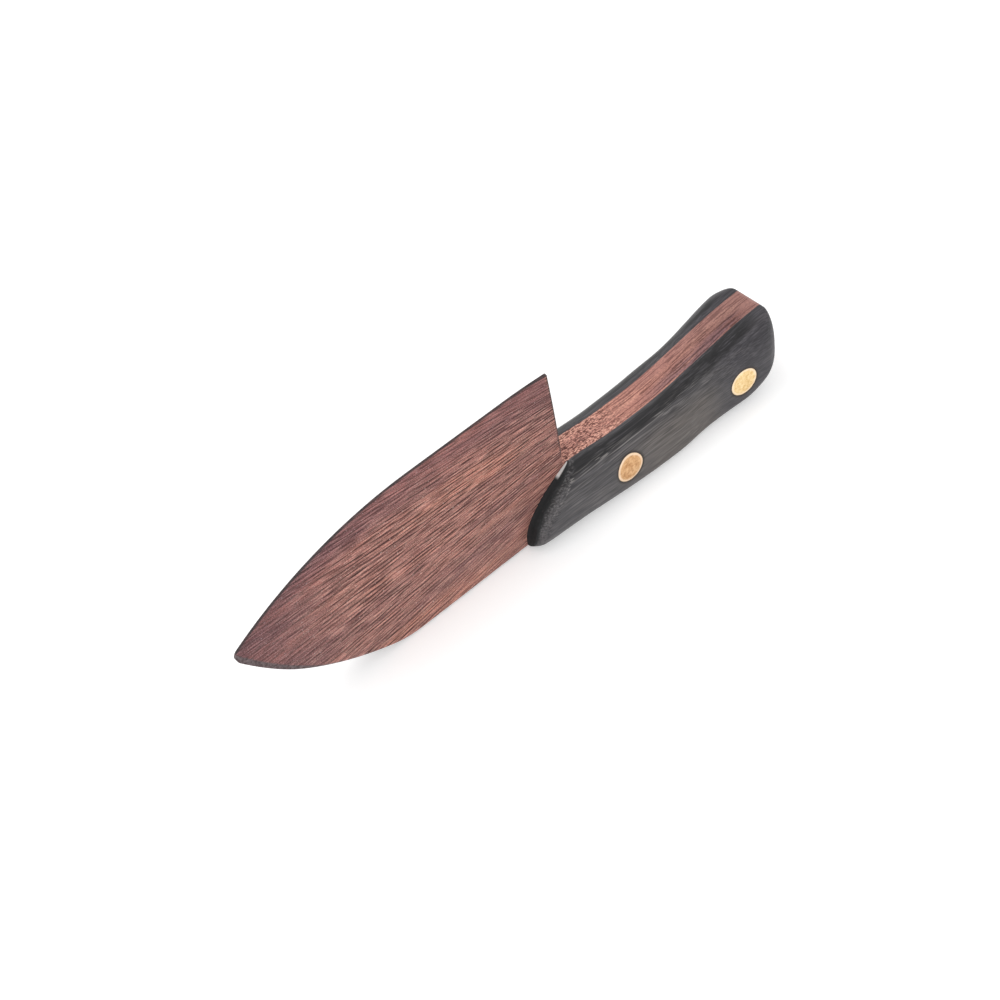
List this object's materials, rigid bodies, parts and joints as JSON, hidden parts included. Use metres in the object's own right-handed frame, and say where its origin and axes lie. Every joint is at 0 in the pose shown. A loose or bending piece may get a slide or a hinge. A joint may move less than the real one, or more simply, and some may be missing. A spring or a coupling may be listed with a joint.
{
  "type": "wooden kitchen knife",
  "caption": "Wooden fixed-blade kitchen knife with a broad convex-ground blade, full tang, dark contoured handle scales and brass pins, resting on its spine with the edge up.",
  "frame": {"origin": "middle of the knife's length and thickness, on the plane of the spine and the handle's back", "axes": "+X from the tip to the butt, +Y across the thickness to the side away from the camera, +Z from the spine up to the cutting edge"},
  "size_m": [0.1914, 0.0266, 0.0548],
  "materials": {
    "blade_wood": "oiled red-brown hardwood with dark pore lines along the blade",
    "scale_wood": "satin near-black hardwood with fine lighter grain",
    "pin_brass": "satin brass sanded flush"
  },
  "bodies": {
    "root": {"blade": "blade_wood", "scale_right": "scale_wood", "scale_left": "scale_wood", "pin_front": "pin_brass", "pin_rear": "pin_brass"}
  },
  "joints": []
}
